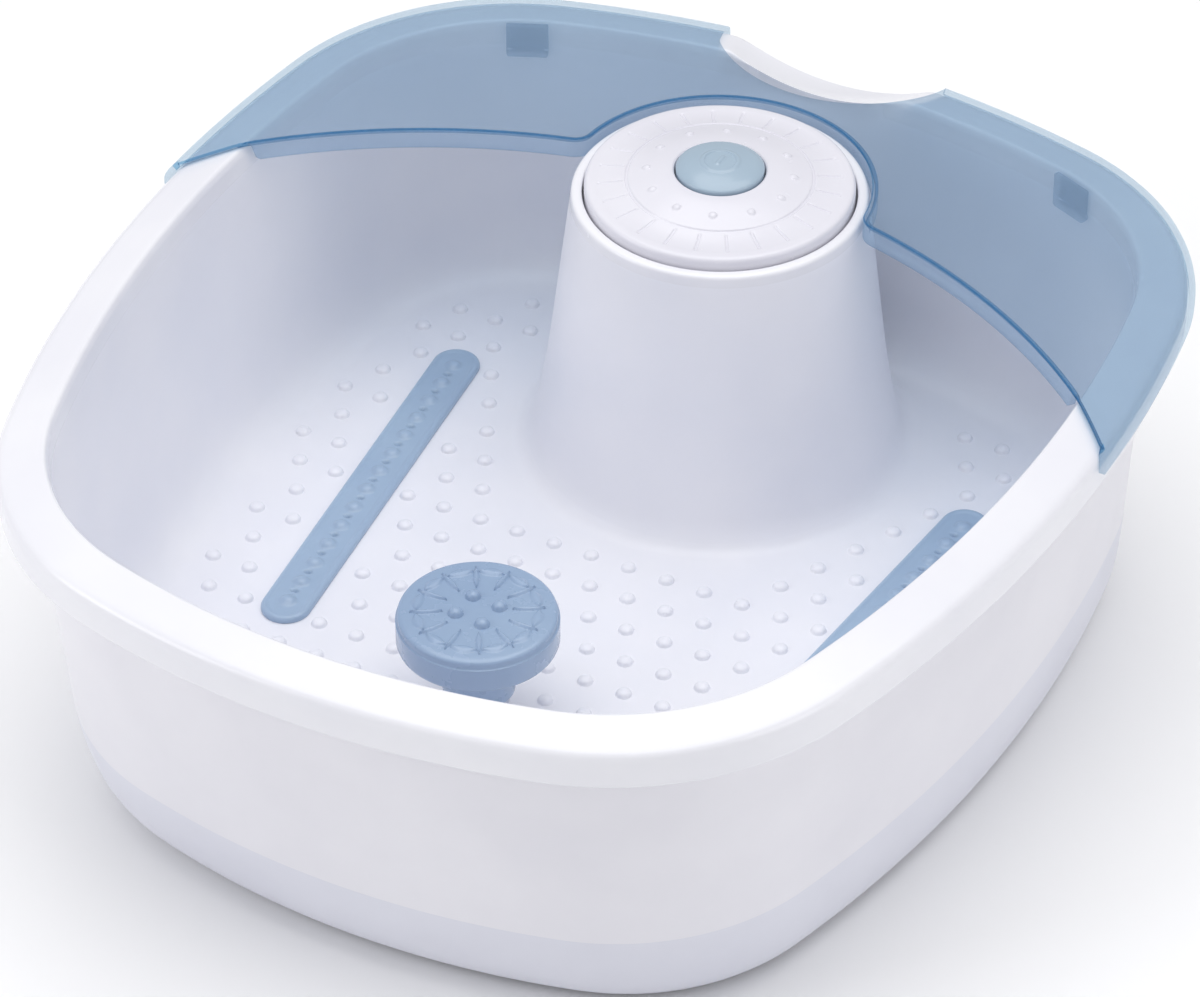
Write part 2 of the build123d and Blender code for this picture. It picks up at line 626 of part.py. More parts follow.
make_all()
os.makedirs("parts", exist_ok=True)
for name, shape in parts.items():
    if isinstance(shape, list):
        shape = Compound(children=shape)
    export_step(shape, "parts/" + name + ".step")
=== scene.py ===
"""Foot spa basin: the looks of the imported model. Sizes are in millimetres until a mesh is made."""

import bmesh
import bpy
import math
import numpy as np
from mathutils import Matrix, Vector
from mathutils.geometry import delaunay_2d_cdt


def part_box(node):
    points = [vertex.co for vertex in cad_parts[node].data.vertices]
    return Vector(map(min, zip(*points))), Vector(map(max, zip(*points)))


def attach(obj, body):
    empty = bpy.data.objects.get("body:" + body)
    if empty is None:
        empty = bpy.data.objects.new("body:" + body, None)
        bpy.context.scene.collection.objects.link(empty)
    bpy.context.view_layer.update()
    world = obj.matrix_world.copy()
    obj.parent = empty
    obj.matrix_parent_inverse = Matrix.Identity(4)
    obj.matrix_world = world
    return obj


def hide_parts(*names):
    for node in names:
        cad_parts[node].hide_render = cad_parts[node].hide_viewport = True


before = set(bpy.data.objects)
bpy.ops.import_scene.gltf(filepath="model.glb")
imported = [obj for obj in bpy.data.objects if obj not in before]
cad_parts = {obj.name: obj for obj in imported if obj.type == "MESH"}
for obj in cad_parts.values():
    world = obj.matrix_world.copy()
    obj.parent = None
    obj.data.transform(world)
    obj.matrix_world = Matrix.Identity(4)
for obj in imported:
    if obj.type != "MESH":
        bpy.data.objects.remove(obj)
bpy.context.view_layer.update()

MM = 0.001
AXIS = 0.02  # the smallest radius of a turned form, which closes it


def node_box(node):
    """A CAD node's lowest and highest corner, in millimetres."""
    low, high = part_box(node)
    return np.array(low) / MM, np.array(high) / MM


# ---------------------------------------------------------------- driving dimensions
TUB_HIGH = node_box("tub")[1]
HALF_WIDTH = TUB_HIGH[0]
HALF_DEPTH = TUB_HIGH[1]
SIDE_RADIUS = 520.0
SIDE_CENTRE_Y = 33.6
FRONT_RADIUS = 322.0
BACK_RADIUS = 382.0
FRONT_CORNER = 104.0
BACK_CORNER = 96.5

BAND_BOTTOM = 127.9
FLOOR_TOP = 34.0
FLOOR_UNDER = 31.0
FLOOR_SHIFT = 4.6

PEDESTAL_Y = 104.0
LEDGE_Z = 139.0

SCOOP_BALL = 82.0
SCOOP_Y = 219.0
SCOOP_Z = 209.8
NOTCH_R = 47.5

GUARD_ARC_R = 236.0
GUARD_ARC_Y = -125.0
GUARD_COLLAR_R = 54.0
GUARD_FILLET = 8.0
GUARD_TOP = 147.0
GUARD_SHOULDER = 144.0
GUARD_SHOULDER_INSET = 0.9
GUARD_LIP = 8.0
GUARD_THICK = 2.2
GUARD_EASE = 0.5

STRIP_X = 97.0
STRIP_Y = 20.0
STRIP_TILT = 5.5
STRIP_LENGTH = 170.0
STRIP_WIDTH = 18.0
STRIP_TOP = node_box("bubble_strip_left")[1][2]
HOLE_COUNT = 13
HOLE_PITCH = 11.4

DISC_Y = -78.0
DISC_R = 28.0
DISC_TOP = node_box("massage_disc")[1][2]
DISC_UNDER = 70.5
POST_R = 8.0
POST_TOP = 77.0

BUTTON_R = 15.8
BUTTON_TOP = node_box("power_button")[1][2]
BUTTON_EDGE = 152.9
CAP_R = 48.3
CAP_DOME = [(17.4, 152.6), (26.4, 150.9), (33.3, 149.1), (44.5, 147.8)]


# ---------------------------------------------------------------- the rim's outline
def circles_meet(first, first_r, second, second_r, prefer_back):
    """Where two circles cross, on the right, nearer the back or nearer the front."""
    gap = math.dist(first, second)
    ux, uy = (second[0] - first[0]) / gap, (second[1] - first[1]) / gap
    along = (gap ** 2 + first_r ** 2 - second_r ** 2) / (2 * gap)
    across = math.sqrt(first_r ** 2 - along ** 2)
    foot = (first[0] + along * ux, first[1] + along * uy)
    options = [(foot[0] - side * across * uy, foot[1] + side * across * ux) for side in (-1, 1)]
    sign = 1 if prefer_back else -1
    return max(options, key=lambda point: point[0] + sign * point[1])


def outline_arcs():
    """Arcs of the right half of the outline, front to back: centre, radius, two angles, samples."""
    side = (HALF_WIDTH - SIDE_RADIUS, SIDE_CENTRE_Y)
    front = (0.0, FRONT_RADIUS - HALF_DEPTH)
    back = (0.0, HALF_DEPTH - BACK_RADIUS)
    near = circles_meet(front, FRONT_RADIUS - FRONT_CORNER, side, SIDE_RADIUS - FRONT_CORNER, False)
    far = circles_meet(back, BACK_RADIUS - BACK_CORNER, side, SIDE_RADIUS - BACK_CORNER, True)
    turns = [
        -math.pi / 2,
        math.atan2(near[1] - front[1], near[0] - front[0]),
        math.atan2(near[1] - side[1], near[0] - side[0]),
        math.atan2(far[1] - side[1], far[0] - side[0]),
        math.atan2(far[1] - back[1], far[0] - back[0]),
        math.pi / 2,
    ]
    centres = [front, near, side, far, back]
    radii = [FRONT_RADIUS, FRONT_CORNER, SIDE_RADIUS, BACK_CORNER, BACK_RADIUS]
    samples = [30, 42, 60, 44, 64]
    return list(zip(centres, radii, turns[:-1], turns[1:], samples))


ARCS = outline_arcs()


def half_outline(inset, shift=0.0):
    """Points of the right half of the outline, from the front's middle to the back's, both included."""
    points = []
    for centre, radius, start, end, samples in ARCS:
        angles = np.linspace(start, end, samples, endpoint=False)
        x = centre[0] + (radius - inset) * np.cos(angles)
        y = centre[1] + (radius - inset) * np.sin(angles) + shift
        points.append(np.column_stack([x, y]))
    points.append([[0.0, HALF_DEPTH - inset + shift]])
    return np.vstack(points)


def outline(inset, shift=0.0):
    """The whole outline, counter-clockwise from the front's middle, moved in and back."""
    right = half_outline(inset, shift)
    left = right[-2:0:-1] * (-1, 1)
    return np.vstack([right, left])


def inset_of(x, y):
    """How far a point is inside the outline."""
    x = np.abs(x)
    best = np.full(np.shape(x), np.inf)
    for centre, radius, start, end, _ in ARCS:
        angle = np.arctan2(y - centre[1], x - centre[0])
        here = radius - np.hypot(x - centre[0], y - centre[1])
        inside = (angle >= start - 1e-6) & (angle <= end + 1e-6)
        best = np.where(inside & (np.abs(here) < np.abs(best)), here, best)
    return best


# ---------------------------------------------------------------- mesh helpers
def rounded(points, steps=5):
    """A section with its corners eased: each point is two coordinates and how far the easing reaches."""
    spots = [np.array(point[:2], float) for point in points]
    result = [spots[0]]
    for i in range(1, len(points) - 1):
        before, here, after = spots[i - 1], spots[i], spots[i + 1]
        reach = points[i][2]
        if not reach:
            result.append(here)
            continue
        first = here + (before - here) * min(reach / math.dist(before, here), 0.49)
        last = here + (after - here) * min(reach / math.dist(after, here), 0.49)
        for t in np.linspace(0, 1, steps):
            result.append((1 - t) ** 2 * first + 2 * t * (1 - t) * here + t ** 2 * last)
    result.append(spots[-1])
    return np.array(result)


def divided(points, longest):
    """A line of points with its long runs cut into shorter ones."""
    result = [points[0]]
    for before, after in zip(points[:-1], points[1:]):
        cuts = max(1, math.ceil(np.linalg.norm(after - before) / longest))
        for i in range(1, cuts + 1):
            result.append(before + (after - before) * i / cuts)
    return np.array(result)


def smoothstep(low, high, value):
    """From 0 at low to 1 at high, easing in and out."""
    t = np.clip((value - low) / (high - low), 0, 1)
    return t * t * (3 - 2 * t)


def make_mesh(name, points, faces, material, sharp=35):
    """An object from points in millimetres, smooth except over edges sharper than so many degrees."""
    mesh = bpy.data.meshes.new(name)
    mesh.from_pydata((np.asarray(points) * MM).tolist(), [], [list(map(int, face)) for face in faces])
    mesh.validate()
    mesh.polygons.foreach_set("use_smooth", [True] * len(mesh.polygons))
    mesh.set_sharp_from_angle(angle=math.radians(sharp))
    mesh.materials.append(material)
    piece = bpy.data.objects.new(name, mesh)
    bpy.context.scene.collection.objects.link(piece)
    return piece


def grid_faces(rows, columns, close_rows=False, close_columns=True):
    """Quads between rows of points, wound so that they face out where rows rise and columns turn left."""
    faces = []
    for row in range(rows if close_rows else rows - 1):
        above = (row + 1) % rows
        for column in range(columns if close_columns else columns - 1):
            right = (column + 1) % columns
            faces.append([
                row * columns + column,
                row * columns + right,
                above * columns + right,
                above * columns + column,
            ])
    return faces


class Shape:
    """Points and faces gathered from several closed forms, made into one mesh."""

    def __init__(self):
        self.points = []
        self.faces = []
        self.count = 0

    def add(self, points, faces):
        points = np.asarray(points, float)
        self.points.append(points)
        self.faces += [[self.count + i for i in face] for face in faces]
        self.count += len(points)

    def add_rows(self, rows, close_rows=False, close_columns=True):
        rows = np.asarray(rows, float)
        faces = grid_faces(len(rows), rows.shape[1], close_rows, close_columns)
        self.add(rows.reshape(-1, 3), faces)

    def add_turned(self, profile, centre, segments=48):
        """A closed solid of revolution from points of radius and height, axis end to axis end."""
        angles = np.linspace(0, 2 * math.pi, segments, endpoint=False)
        rows = []
        for radius, height in profile:
            x = centre[0] + radius * np.cos(angles)
            y = centre[1] + radius * np.sin(angles)
            rows.append(np.column_stack([x, y, np.full(segments, height)]))
        self.add_rows(rows)

    def close_ends(self, count):
        """One face over the first row and one over the last, of a shape made of one run of rows."""
        self.faces.append(list(range(count))[::-1])
        self.faces.append([self.count - count + i for i in range(count)])

    def build(self, name, material, sharp=35):
        return make_mesh(name, np.vstack(self.points), self.faces, material, sharp)


def finish_piece(piece, body, slot, *nodes):
    """Tells the frame which body a piece rides and hides the CAD nodes it stands for. The slot is not used.
    """
    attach(piece, body)
    if nodes:
        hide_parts(*nodes)


# ---------------------------------------------------------------- materials
def srgb(red, green, blue):
    """A linear colour from 0 to 255 display values."""
    linear = []
    for value in (red, green, blue):
        value = value / 255
        linear.append(value / 12.92 if value <= 0.04045 else ((value + 0.055) / 1.055) ** 2.4)
    return (*linear, 1.0)


class Nodes:
    """A material's node tree, with short names for what is done most."""

    def __init__(self, name):
        self.material = bpy.data.materials.new(name)
        self.material.use_nodes = True
        self.tree = self.material.node_tree
        self.shader = self.tree.nodes["Principled BSDF"]
        self.output = self.tree.nodes["Material Output"]
        self.place = self.tree.nodes.new("ShaderNodeTexCoord").outputs["Object"]

    def new(self, kind, **settings):
        node = self.tree.nodes.new("ShaderNode" + kind)
        for key, value in settings.items():
            setattr(node, key, value)
        return node

    def link(self, start, end):
        self.tree.links.new(start, end)

    def noise(self, scale, detail=3.0, roughness=0.5):
        node = self.new("TexNoise")
        node.inputs["Scale"].default_value = scale
        node.inputs["Detail"].default_value = detail
        node.inputs["Roughness"].default_value = roughness
        self.link(self.place, node.inputs["Vector"])
        return node.outputs["Fac"]

    def ramp(self, value, stops):
        node = self.new("ValToRGB")
        while len(node.color_ramp.elements) < len(stops):
            node.color_ramp.elements.new(0.5)
        for element, (position, colour) in zip(node.color_ramp.elements, stops):
            element.position = position
            element.color = colour
        self.link(value, node.inputs["Fac"])
        return node.outputs["Color"]

    def span(self, value, low, high):
        """A value from 0 to 1 moved to low to high."""
        node = self.new("MapRange")
        node.inputs["To Min"].default_value = low
        node.inputs["To Max"].default_value = high
        self.link(value, node.inputs["Value"])
        return node.outputs["Result"]

    def bump(self, height, strength, distance, normal=None):
        node = self.new("Bump")
        node.inputs["Strength"].default_value = strength
        node.inputs["Distance"].default_value = distance
        self.link(height, node.inputs["Height"])
        if normal:
            self.link(normal, node.inputs["Normal"])
        return node.outputs["Normal"]


def plastic(name, light, dark, rough=(0.24, 0.34), grain=2600, grain_strength=0.06, coat=0.0, soft=0.0):
    """Moulded plastic: two close tones, uneven gloss, a fine grain and slow waviness."""
    nodes = Nodes(name)
    tone = nodes.ramp(nodes.noise(14, 4), [(0.35, dark), (0.65, light)])
    nodes.link(tone, nodes.shader.inputs["Base Color"])
    nodes.link(nodes.span(nodes.noise(60, 4, 0.6), *rough), nodes.shader.inputs["Roughness"])
    waves = nodes.bump(nodes.noise(9, 1), 0.05, 0.004)
    grains = nodes.bump(nodes.noise(grain, 2), grain_strength, 0.0002, waves)
    nodes.link(grains, nodes.shader.inputs["Normal"])
    nodes.shader.inputs["Coat Weight"].default_value = coat
    nodes.shader.inputs["Coat Roughness"].default_value = 0.12
    if soft:
        nodes.shader.inputs["Subsurface Weight"].default_value = soft
        nodes.shader.inputs["Subsurface Radius"].default_value = (0.006, 0.006, 0.008)
        nodes.shader.inputs["Subsurface Scale"].default_value = 0.4
    return nodes.material


def metal(name, light, dark, rough=(0.25, 0.42), scratch=900):
    """Machined or rolled metal: streaks stretched along one way over a mottled gloss."""
    nodes = Nodes(name)
    stretch = nodes.new("Mapping")
    stretch.inputs["Scale"].default_value = (1, 1, 14)
    nodes.link(nodes.place, stretch.inputs["Vector"])
    streak = nodes.new("TexNoise")
    streak.inputs["Scale"].default_value = scratch
    nodes.link(stretch.outputs["Vector"], streak.inputs["Vector"])
    tone = nodes.ramp(nodes.noise(120, 4), [(0.3, dark), (0.7, light)])
    nodes.link(tone, nodes.shader.inputs["Base Color"])
    nodes.link(nodes.span(nodes.noise(300, 3), *rough), nodes.shader.inputs["Roughness"])
    nodes.link(nodes.bump(streak.outputs["Fac"], 0.12, 0.0002), nodes.shader.inputs["Normal"])
    nodes.shader.inputs["Metallic"].default_value = 1.0
    return nodes.material


def clear_plastic(name, tint, haze, body, edge):
    """See-through tinted plastic: mostly a window of two tints, with a milky share and a glossy surface."""
    nodes = Nodes(name)
    window = nodes.new("BsdfTransparent")
    facing = nodes.new("LayerWeight")
    facing.inputs["Blend"].default_value = 0.35
    deep = nodes.new("Mix", data_type="RGBA")
    deep.inputs["A"].default_value = tint
    deep.inputs["B"].default_value = edge
    nodes.link(facing.outputs["Facing"], deep.inputs["Factor"])
    nodes.link(deep.outputs["Result"], window.inputs["Color"])
    milky = nodes.span(nodes.noise(40, 3), haze * 0.85, haze * 1.15)
    nodes.shader.inputs["Base Color"].default_value = body
    nodes.link(nodes.span(nodes.noise(90, 3), 0.1, 0.2), nodes.shader.inputs["Roughness"])
    nodes.link(nodes.bump(nodes.noise(1800, 2), 0.03, 0.0002), nodes.shader.inputs["Normal"])
    mix = nodes.new("MixShader")
    nodes.link(milky, mix.inputs["Fac"])
    nodes.link(window.outputs["BSDF"], mix.inputs[1])
    nodes.link(nodes.shader.outputs["BSDF"], mix.inputs[2])
    nodes.link(mix.outputs["Shader"], nodes.output.inputs["Surface"])
    return nodes.material


WHITE = plastic("white_gloss_abs", srgb(240, 240, 245), srgb(234, 234, 241), (0.2, 0.3), coat=0.15)
WELL = plastic("white_tub_inside", srgb(239, 239, 245), srgb(233, 234, 242), (0.3, 0.4))
CASING = plastic("casing_abs", srgb(236, 235, 241), srgb(230, 229, 236), (0.28, 0.38))
# A darker, cooler copy of the casing white for the band below the crease: painted shade for the steeper
# lower part, not a different plastic.
CASING_PAINTED_SHADE = plastic("casing_abs_painted_shade", srgb(226, 227, 237), srgb(220, 221, 232), (0.3, 0.4))
CAP = plastic("cap_abs", srgb(229, 228, 236), srgb(222, 221, 230), (0.22, 0.3), coat=0.1)
GUARD = clear_plastic(
    "guard_blue_clear", (0.835, 0.885, 0.92, 1), 0.14, srgb(178, 200, 224), (0.79, 0.86, 0.91, 1),
)
GUARD_LIP_SIDE = clear_plastic(
    "guard_blue_lip", (0.86, 0.91, 0.95, 1), 0.28, srgb(186, 208, 232), (0.80, 0.88, 0.94, 1),
)
GUARD_EDGE = clear_plastic(
    "guard_blue_edge", (0.44, 0.66, 0.80, 1), 0.25, srgb(84, 146, 194), (0.32, 0.56, 0.74, 1),
)
BUTTON = plastic("button_grey_blue", srgb(168, 187, 203), srgb(160, 180, 197), (0.2, 0.3), coat=0.3)
DISC = plastic("disc_blue", srgb(154, 176, 203), srgb(144, 167, 197), (0.22, 0.32), coat=0.3)
STRIP = plastic("strip_blue", srgb(164, 186, 209), srgb(154, 176, 202), (0.25, 0.35), coat=0.2)
GREY_BASE = plastic("base_grey", srgb(176, 178, 184), srgb(165, 167, 174), (0.45, 0.6), 1400, 0.2)
IVORY = plastic("ivory_nylon", srgb(224, 219, 203), srgb(212, 206, 188), (0.4, 0.5), 1600, 0.12, soft=0.05)
DUCT = plastic("duct_grey", srgb(138, 142, 148), srgb(124, 128, 135), (0.4, 0.52), 1500, 0.15)
BLACK = plastic("black_plastic", srgb(38, 38, 41), srgb(27, 27, 30), (0.35, 0.5), 1500, 0.2)
BOARD = plastic("board_green", srgb(38, 104, 62), srgb(27, 84, 50), (0.25, 0.42), 700, 0.15)
RUBBER = plastic("foot_rubber", srgb(64, 65, 69), srgb(49, 50, 54), (0.6, 0.8), 1100, 0.35)
SEAL = plastic("seal_rubber", srgb(120, 124, 130), srgb(104, 108, 115), (0.5, 0.7), 1100, 0.3)
STEEL = metal("zinc_steel", srgb(196, 198, 201), srgb(170, 172, 176))
MOTOR = metal("motor_can", srgb(182, 184, 188), srgb(150, 152, 157), (0.3, 0.5))
ALUMINIUM = metal("aluminium_plate", srgb(205, 206, 208), srgb(182, 184, 187), (0.35, 0.55), 600)
BRASS = metal("brass", srgb(206, 176, 104), srgb(178, 146, 80))


# ---------------------------------------------------------------- tub
def scooped(points, grown=0.0):
    """The points lowered onto the scoop's ball, or onto one grown by so much, with eased sides."""
    off = points[:, 0] ** 2 + (points[:, 1] - SCOOP_Y) ** 2
    face = SCOOP_Z - np.sqrt(np.maximum((SCOOP_BALL + grown) ** 2 - off, 0))
    ease = 1.2
    share = np.clip(0.5 + 0.5 * (face - points[:, 2]) / ease, 0, 1)
    lowered = points.copy()
    lowered[:, 2] = face * (1 - share) + points[:, 2] * share - ease * share * (1 - share)
    return lowered


def level(inset, z, shift=0.0):
    """A row of points along the outline at one height, moved in and back."""
    spots = outline(inset, shift)
    return np.column_stack([spots, np.full(len(spots), z)])


def tub_shift(z):
    """How far back the tub's section has moved at a height."""
    return np.interp(z, [FLOOR_TOP, 39.5, 50, 70, 142], [FLOOR_SHIFT, 4.4, 3.6, 2.2, 0.0])


def tub_top_rows():
    """Rows of the band, the rim and the water side of the wall, down to the floor."""
    section = rounded([
        (2.3, BAND_BOTTOM, 0),
        (0.0, BAND_BOTTOM, 0.6),
        (0.0, 141.1, 3.6),
        (16.9, 144.75, 1.3),
        (17.9, 142.0, 1.0),
        (22.4, 70.0, 12),
        (24.8, 50.0, 6),
        (29.0, 39.5, 5),
        (37.0, FLOOR_TOP, 4.5),
        (46.0, FLOOR_TOP, 0),
    ], 6)
    section = divided(section, 6)
    rim = section[section[:, 0] < 17.6]
    wall = section[section[:, 0] >= 17.6]
    section = np.vstack([divided(rim, 1.4), wall])
    rows = []
    for inset, z in section[:-1]:
        row = level(inset, z, tub_shift(z))
        rows.append(scooped(row) if z > 125 else row)
    return rows


def pedestal_turns(row):
    """The direction from the pedestal's centre to each point of a row, and how far off it is."""
    away = row[:, :2] - (0, PEDESTAL_Y)
    return np.arctan2(away[:, 1], away[:, 0]), np.hypot(away[:, 0], away[:, 1])


def pedestal_row(turns, radius, z):
    """A row of points round the pedestal's axis at one height."""
    x = radius * np.cos(turns)
    y = PEDESTAL_Y + radius * np.sin(turns)
    return np.column_stack([x, y, np.full(len(turns), z)])


def make_tub():
    """One closed skin: rim, wall, floor and pedestal, then back underneath to the band."""
    rows = tub_top_rows()
    edge = rows[-1]
    turns, reach = pedestal_turns(edge)
    flare = np.minimum(76.0, reach - 1.0)
    foot = pedestal_row(turns, flare, FLOOR_TOP)
    for t in (0.1, 0.25, 0.5, 0.75, 0.92):
        rows.append(edge + (foot - edge) * t)

    section = rounded([
        (79.0, FLOOR_TOP, 0),
        (71.5, FLOOR_TOP + 0.6, 4),
        (67.0, 41.0, 5),
        (61.8, 69.5, 14),
        (53.2, 140.0, 1),
        (52.9, 143.5, 1.7),
        (49.0, 143.5, 0.8),
        (49.0, LEDGE_Z, 0.3),
        (46.0, LEDGE_Z, 0.3),
        (46.0, LEDGE_Z - 2.4, 0.3),
        (50.9, LEDGE_Z - 2.4, 0.6),
        (59.2, 69.5, 10),
        (63.5, 41.0, 5),
        (63.5, FLOOR_UNDER, 0),
    ], 6)
    section = divided(section[1:], 10)
    for radius, z in section:
        limit = np.where(z < 45, np.minimum(radius, reach - 1.0), radius)
        rows.append(pedestal_row(turns, limit, z))

    under = level(35.5, FLOOR_UNDER, FLOOR_SHIFT)
    for t in (0.5, 1.0):
        rows.append(rows[-1] * (1 - t) + under * t)
    outside = divided(rounded([
        (35.5, FLOOR_UNDER, 0),
        (26.5, 39.5, 4),
        (22.3, 50.0, 6),
        (19.9, 70.0, 12),
        (15.4, 142.0, 0.6),
        (4.6, 139.2, 1.5),
        (2.3, 137.0, 1.0),
        (2.3, BAND_BOTTOM, 0),
    ]), 12)
    for inset, z in outside[1:-1]:
        row = level(inset, z, tub_shift(z))
        if z > BAND_BOTTOM + 1:
            row = scooped(row, 2.3)
            row[:, 2] = np.maximum(row[:, 2], BAND_BOTTOM + 0.2)
        rows.append(row)

    shape = Shape()
    shape.add_rows(rows, close_rows=True)
    add_post(shape)
    piece = shape.build("tub_moulding", WHITE, 50)
    paint_inside(piece)
    finish_piece(piece, "base", "white_tub", "tub")


def add_post(shape):
    """The post that the massage disc is pushed onto."""
    low = FLOOR_UNDER + 1
    profile = [(AXIS, low), (15, low), (15, 34.2), (13.6, 34.6), (12.2, 36.5), (11, 40), (10.5, 44)]
    profile += [(POST_R, 44), (POST_R, POST_TOP - 1.5), (POST_R - 1.5, POST_TOP), (AXIS, POST_TOP)]
    shape.add_turned(profile, (0, DISC_Y))


def paint_inside(piece):
    """The water side of the tub has its own, slightly cooler finish."""
    mesh = piece.data
    mesh.materials.append(WELL)
    for face in mesh.polygons:
        x, y, z = face.center / MM
        inside = inset_of(np.array([x]), np.array([y]))[0]
        if 33.5 < z < 138 and inside > 17.2:
            face.material_index = 1


def make_floor_nubs():
    """Small rounded nubs all over the floor, in staggered rows."""
    pitch_x, pitch_y, radius, height = 15.0, 15.5, 2.7, 1.9
    profile = [(radius + 0.7, -0.3), (radius + 0.15, 0.12), (radius, 0.5)]
    for angle in np.radians([22, 42, 60, 76, 88]):
        profile.append((radius * math.cos(angle), 0.5 + (height - 0.5) * math.sin(angle)))
    profile.append((AXIS, height))
    shape = Shape()
    for row in range(-12, 13):
        y = 4.0 + row * pitch_y
        for column in range(-12, 13):
            x = (column + (0.5 if row % 2 else 0.0)) * pitch_x
            if not floor_is_free(x, y):
                continue
            rings = [(AXIS, -0.3), *profile]
            shape.add_turned([(r, FLOOR_TOP + z) for r, z in rings], (x, y), 20)
    finish_piece(shape.build("floor_nubs", WELL, 60), "base", "white_tub")


def strip_place(side, distance, across=0.0):
    """A point on or beside a bubble strip's centre line."""
    tilt = math.radians(STRIP_TILT)
    x = STRIP_X + distance * math.sin(tilt) + across * math.cos(tilt)
    return side * x, STRIP_Y + distance * math.cos(tilt) - across * math.sin(tilt)


def floor_is_free(x, y):
    """Whether a nub fits here, clear of the wall, the pedestal, the post and the strips."""
    if inset_of(np.array([x]), np.array([y - FLOOR_SHIFT]))[0] < 44:
        return False
    if math.hypot(x, y - PEDESTAL_Y) < 84 or (abs(x) < 40 and y > PEDESTAL_Y):
        return False
    if math.hypot(x, y - DISC_Y) < 21:
        return False
    tilt = math.radians(STRIP_TILT)
    along = (abs(x) - STRIP_X) * math.sin(tilt) + (y - STRIP_Y) * math.cos(tilt)
    off = (abs(x) - STRIP_X) * math.cos(tilt) - (y - STRIP_Y) * math.sin(tilt)
    beyond = max(abs(along) - (STRIP_LENGTH - STRIP_WIDTH) / 2, 0)
    return math.hypot(beyond, off) > STRIP_WIDTH / 2 + 4.5


# ---------------------------------------------------------------- casing
def make_casing():
    """The outer shell, with a crease over its lower part; the band below the crease is painted a darker,
    cooler white as painted shade.
    """
    skin = rounded([
        (30.2, 2.5, 0),
        (27.6, 2.6, 1.2),
        (22.8, 9.0, 5),
        (20.2, 18.0, 6),
        (18.5, 30.0, 6),
        (17.5, 42.0, 0.7),
        (12.5, BAND_BOTTOM, 0),
        (12.5, 139.8, 0),
    ], 5)
    heights = [2.5, 4.5, 9, 18, 30, 42, BAND_BOTTOM, 139.8]
    shifts = [12.4, 12.4, 10.4, 7.6, 5.4, 4.0, 0.0, 0.0]
    outer = divided(skin, 6)
    inner = outer[::-1] + (2.2, 0)
    rows = []
    for inset, z in np.vstack([outer, inner]):
        row = level(inset, z, np.interp(z, heights, shifts))
        rows.append(scooped(row, 2.9) if z > 125 else row)
    shape = Shape()
    shape.add_rows(rows, close_rows=True)
    piece = shape.build("outer_casing_shell", CASING, 40)
    # Faces below z 42 take the darker copy of the casing white: painted shade on the lower band.
    piece.data.materials.append(CASING_PAINTED_SHADE)
    for face in piece.data.polygons:
        if face.center.z / MM < 42:
            face.material_index = 1
    finish_piece(piece, "base", "white_casing", "outer_casing")


# ---------------------------------------------------------------- splash guard
def arch_crossing(inset):
    """Where the guard's front arc crosses the outline, as a place along the right half of it."""
    points = half_outline(inset)
    beyond = np.hypot(points[:, 0], points[:, 1] - GUARD_ARC_Y) - (GUARD_ARC_R + GUARD_EASE)
    first = int(np.argmax((beyond > 0) & (points[:, 1] > 0)))
    share = beyond[first - 1] / (beyond[first - 1] - beyond[first])
    return points[first - 1:], share


def scoop_reach(z):
    """How far from the scoop's middle line the guard is cut away at a height."""
    return max(NOTCH_R, math.sqrt((SCOOP_BALL + 0.2) ** 2 - (SCOOP_Z - z) ** 2))


def scoop_crossing(points, radius):
    """The part of a line, from its start, that lies outside the scoop's circle."""
    off = np.hypot(points[:, 0], points[:, 1] - SCOOP_Y) - radius
    last = int(np.argmax(off < 0))
    share = off[last - 1] / (off[last - 1] - off[last])
    end = points[last - 1] + (points[last] - points[last - 1]) * share
    return np.vstack([points[:last], end])


def spread(points, count):
    """The same line through evenly spaced points."""
    lengths = np.concatenate([[0], np.cumsum(np.linalg.norm(np.diff(points, axis=0), axis=1))])
    wanted = np.linspace(0, lengths[-1], count)
    return np.column_stack([np.interp(wanted, lengths, points[:, i]) for i in range(points.shape[1])])


def guard_stretch(inset, z, count):
    """The guard's outer line on the right at a height, from its front end to the scoop's notch."""
    points, share = arch_crossing(inset)
    points = np.vstack([points[0] + (points[1] - points[0]) * share, points[1:]])
    return spread(scoop_crossing(points, scoop_reach(z)), count)


def guard_notch(start):
    """The notch round the scoop in the guard's top, from its right end to the middle."""
    notch = []
    for turn in np.linspace(start, -math.pi / 2, 34)[1:]:
        reach = scoop_reach(GUARD_TOP)
        for _ in range(12):
            spot = reach * math.cos(turn), SCOOP_Y + reach * math.sin(turn)
            reach = scoop_reach(float(guard_height(*spot)))
        notch.append(spot)
    return np.array(notch)


